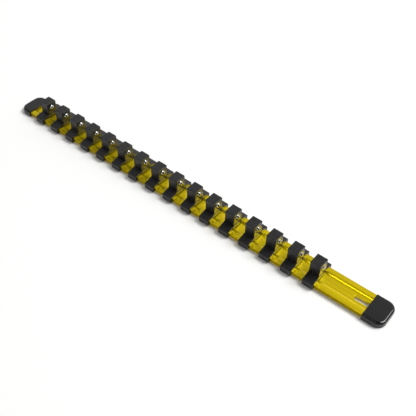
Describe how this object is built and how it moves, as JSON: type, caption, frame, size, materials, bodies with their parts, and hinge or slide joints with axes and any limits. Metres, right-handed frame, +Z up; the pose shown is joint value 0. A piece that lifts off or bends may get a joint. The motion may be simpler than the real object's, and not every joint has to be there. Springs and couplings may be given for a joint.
{
  "type": "socket rail",
  "caption": "Grooved anodised aluminium rail carrying a row of sliding moulded drive posts, each with a sprung steel ball, between two push-on plastic end caps.",
  "frame": {"origin": "on the surface that the rail stands on, under the middle of its whole length and width", "axes": "+X along the rail towards its bare end, +Y across the rail, +Z up out of the posts"},
  "size_m": [0.4766, 0.0322, 0.0237],
  "materials": {
    "anodised_rail": "extruded aluminium, yellow anodised, satin with fine die lines",
    "cap_plastic": "smooth black moulded plastic with a low sheen",
    "clip_plastic": "fine-grained black moulded plastic",
    "ball_steel": "polished bearing steel",
    "spring_steel": "drawn spring wire"
  },
  "bodies": {
    "rail": {"rail": "anodised_rail"},
    "end_cap_far": {"end_cap_far": "cap_plastic"},
    "end_cap_near": {"end_cap_near": "cap_plastic"},
    "clip_01": {"clip_01": "clip_plastic", "spring_01": "spring_steel"},
    "ball_01": {"ball_01": "ball_steel"},
    "clip_02": {"clip_02": "clip_plastic", "spring_02": "spring_steel"},
    "ball_02": {"ball_02": "ball_steel"},
    "clip_03": {"clip_03": "clip_plastic", "spring_03": "spring_steel"},
    "ball_03": {"ball_03": "ball_steel"},
    "clip_04": {"clip_04": "clip_plastic", "spring_04": "spring_steel"},
    "ball_04": {"ball_04": "ball_steel"},
    "clip_05": {"clip_05": "clip_plastic", "spring_05": "spring_steel"},
    "ball_05": {"ball_05": "ball_steel"},
    "clip_06": {"clip_06": "clip_plastic", "spring_06": "spring_steel"},
    "ball_06": {"ball_06": "ball_steel"},
    "clip_07": {"clip_07": "clip_plastic", "spring_07": "spring_steel"},
    "ball_07": {"ball_07": "ball_steel"},
    "clip_08": {"clip_08": "clip_plastic", "spring_08": "spring_steel"},
    "ball_08": {"ball_08": "ball_steel"},
    "clip_09": {"clip_09": "clip_plastic", "spring_09": "spring_steel"},
    "ball_09": {"ball_09": "ball_steel"},
    "clip_10": {"clip_10": "clip_plastic", "spring_10": "spring_steel"},
    "ball_10": {"ball_10": "ball_steel"},
    "clip_11": {"clip_11": "clip_plastic", "spring_11": "spring_steel"},
    "ball_11": {"ball_11": "ball_steel"},
    "clip_12": {"clip_12": "clip_plastic", "spring_12": "spring_steel"},
    "ball_12": {"ball_12": "ball_steel"},
    "clip_13": {"clip_13": "clip_plastic", "spring_13": "spring_steel"},
    "ball_13": {"ball_13": "ball_steel"},
    "clip_14": {"clip_14": "clip_plastic", "spring_14": "spring_steel"},
    "ball_14": {"ball_14": "ball_steel"},
    "clip_15": {"clip_15": "clip_plastic", "spring_15": "spring_steel"},
    "ball_15": {"ball_15": "ball_steel"},
    "clip_16": {"clip_16": "clip_plastic", "spring_16": "spring_steel"},
    "ball_16": {"ball_16": "ball_steel"}
  },
  "joints": [
    {"name": "end_cap_far_pull", "type": "slide", "parent": "rail", "child": "end_cap_far", "axis": [-1, 0, 0], "range_m": [0, 0.01]},
    {"name": "end_cap_near_pull", "type": "slide", "parent": "rail", "child": "end_cap_near", "axis": [1, 0, 0], "range_m": [0, 0.0136]},
    {"name": "clip_01_slide", "type": "slide", "parent": "rail", "child": "clip_01", "axis": [1, 0, 0], "range_m": [-0.012, 0.0115]},
    {"name": "clip_02_slide", "type": "slide", "parent": "rail", "child": "clip_02", "axis": [1, 0, 0], "range_m": [-0.0115, 0.0115]},
    {"name": "clip_03_slide", "type": "slide", "parent": "rail", "child": "clip_03", "axis": [1, 0, 0], "range_m": [-0.0115, 0.0115]},
    {"name": "clip_04_slide", "type": "slide", "parent": "rail", "child": "clip_04", "axis": [1, 0, 0], "range_m": [-0.0115, 0.0115]},
    {"name": "clip_05_slide", "type": "slide", "parent": "rail", "child": "clip_05", "axis": [1, 0, 0], "range_m": [-0.0115, 0.0115]},
    {"name": "clip_06_slide", "type": "slide", "parent": "rail", "child": "clip_06", "axis": [1, 0, 0], "range_m": [-0.0115, 0.0115]},
    {"name": "clip_07_slide", "type": "slide", "parent": "rail", "child": "clip_07", "axis": [1, 0, 0], "range_m": [-0.0115, 0.0115]},
    {"name": "clip_08_slide", "type": "slide", "parent": "rail", "child": "clip_08", "axis": [1, 0, 0], "range_m": [-0.0115, 0.0115]},
    {"name": "clip_09_slide", "type": "slide", "parent": "rail", "child": "clip_09", "axis": [1, 0, 0], "range_m": [-0.0115, 0.0115]},
    {"name": "clip_10_slide", "type": "slide", "parent": "rail", "child": "clip_10", "axis": [1, 0, 0], "range_m": [-0.0115, 0.0115]},
    {"name": "clip_11_slide", "type": "slide", "parent": "rail", "child": "clip_11", "axis": [1, 0, 0], "range_m": [-0.0115, 0.0115]},
    {"name": "clip_12_slide", "type": "slide", "parent": "rail", "child": "clip_12", "axis": [1, 0, 0], "range_m": [-0.0115, 0.0115]},
    {"name": "clip_13_slide", "type": "slide", "parent": "rail", "child": "clip_13", "axis": [1, 0, 0], "range_m": [-0.0115, 0.0115]},
    {"name": "clip_14_slide", "type": "slide", "parent": "rail", "child": "clip_14", "axis": [1, 0, 0], "range_m": [-0.0115, 0.0115]},
    {"name": "clip_15_slide", "type": "slide", "parent": "rail", "child": "clip_15", "axis": [1, 0, 0], "range_m": [-0.0115, 0.0115]},
    {"name": "clip_16_slide", "type": "slide", "parent": "rail", "child": "clip_16", "axis": [1, 0, 0], "range_m": [-0.0115, 0.048]},
    {"name": "ball_01_press", "type": "slide", "parent": "clip_01", "child": "ball_01", "axis": [-1, 0, 0], "range_m": [0, 0.0014], "stiffness_N_per_m": 800, "springref_m": -0.001, "deforming": ["spring_01"]},
    {"name": "ball_02_press", "type": "slide", "parent": "clip_02", "child": "ball_02", "axis": [-1, 0, 0], "range_m": [0, 0.0014], "stiffness_N_per_m": 800, "springref_m": -0.001, "deforming": ["spring_02"]},
    {"name": "ball_03_press", "type": "slide", "parent": "clip_03", "child": "ball_03", "axis": [-1, 0, 0], "range_m": [0, 0.0014], "stiffness_N_per_m": 800, "springref_m": -0.001, "deforming": ["spring_03"]},
    {"name": "ball_04_press", "type": "slide", "parent": "clip_04", "child": "ball_04", "axis": [-1, 0, 0], "range_m": [0, 0.0014], "stiffness_N_per_m": 800, "springref_m": -0.001, "deforming": ["spring_04"]},
    {"name": "ball_05_press", "type": "slide", "parent": "clip_05", "child": "ball_05", "axis": [-1, 0, 0], "range_m": [0, 0.0014], "stiffness_N_per_m": 800, "springref_m": -0.001, "deforming": ["spring_05"]},
    {"name": "ball_06_press", "type": "slide", "parent": "clip_06", "child": "ball_06", "axis": [-1, 0, 0], "range_m": [0, 0.0014], "stiffness_N_per_m": 800, "springref_m": -0.001, "deforming": ["spring_06"]},
    {"name": "ball_07_press", "type": "slide", "parent": "clip_07", "child": "ball_07", "axis": [-1, 0, 0], "range_m": [0, 0.0014], "stiffness_N_per_m": 800, "springref_m": -0.001, "deforming": ["spring_07"]},
    {"name": "ball_08_press", "type": "slide", "parent": "clip_08", "child": "ball_08", "axis": [-1, 0, 0], "range_m": [0, 0.0014], "stiffness_N_per_m": 800, "springref_m": -0.001, "deforming": ["spring_08"]},
    {"name": "ball_09_press", "type": "slide", "parent": "clip_09", "child": "ball_09", "axis": [-1, 0, 0], "range_m": [0, 0.0014], "stiffness_N_per_m": 800, "springref_m": -0.001, "deforming": ["spring_09"]},
    {"name": "ball_10_press", "type": "slide", "parent": "clip_10", "child": "ball_10", "axis": [-1, 0, 0], "range_m": [0, 0.0014], "stiffness_N_per_m": 800, "springref_m": -0.001, "deforming": ["spring_10"]},
    {"name": "ball_11_press", "type": "slide", "parent": "clip_11", "child": "ball_11", "axis": [-1, 0, 0], "range_m": [0, 0.0014], "stiffness_N_per_m": 800, "springref_m": -0.001, "deforming": ["spring_11"]},
    {"name": "ball_12_press", "type": "slide", "parent": "clip_12", "child": "ball_12", "axis": [-1, 0, 0], "range_m": [0, 0.0014], "stiffness_N_per_m": 800, "springref_m": -0.001, "deforming": ["spring_12"]},
    {"name": "ball_13_press", "type": "slide", "parent": "clip_13", "child": "ball_13", "axis": [-1, 0, 0], "range_m": [0, 0.0014], "stiffness_N_per_m": 800, "springref_m": -0.001, "deforming": ["spring_13"]},
    {"name": "ball_14_press", "type": "slide", "parent": "clip_14", "child": "ball_14", "axis": [-1, 0, 0], "range_m": [0, 0.0014], "stiffness_N_per_m": 800, "springref_m": -0.001, "deforming": ["spring_14"]},
    {"name": "ball_15_press", "type": "slide", "parent": "clip_15", "child": "ball_15", "axis": [-1, 0, 0], "range_m": [0, 0.0014], "stiffness_N_per_m": 800, "springref_m": -0.001, "deforming": ["spring_15"]},
    {"name": "ball_16_press", "type": "slide", "parent": "clip_16", "child": "ball_16", "axis": [-1, 0, 0], "range_m": [0, 0.0014], "stiffness_N_per_m": 800, "springref_m": -0.001, "deforming": ["spring_16"]}
  ]
}
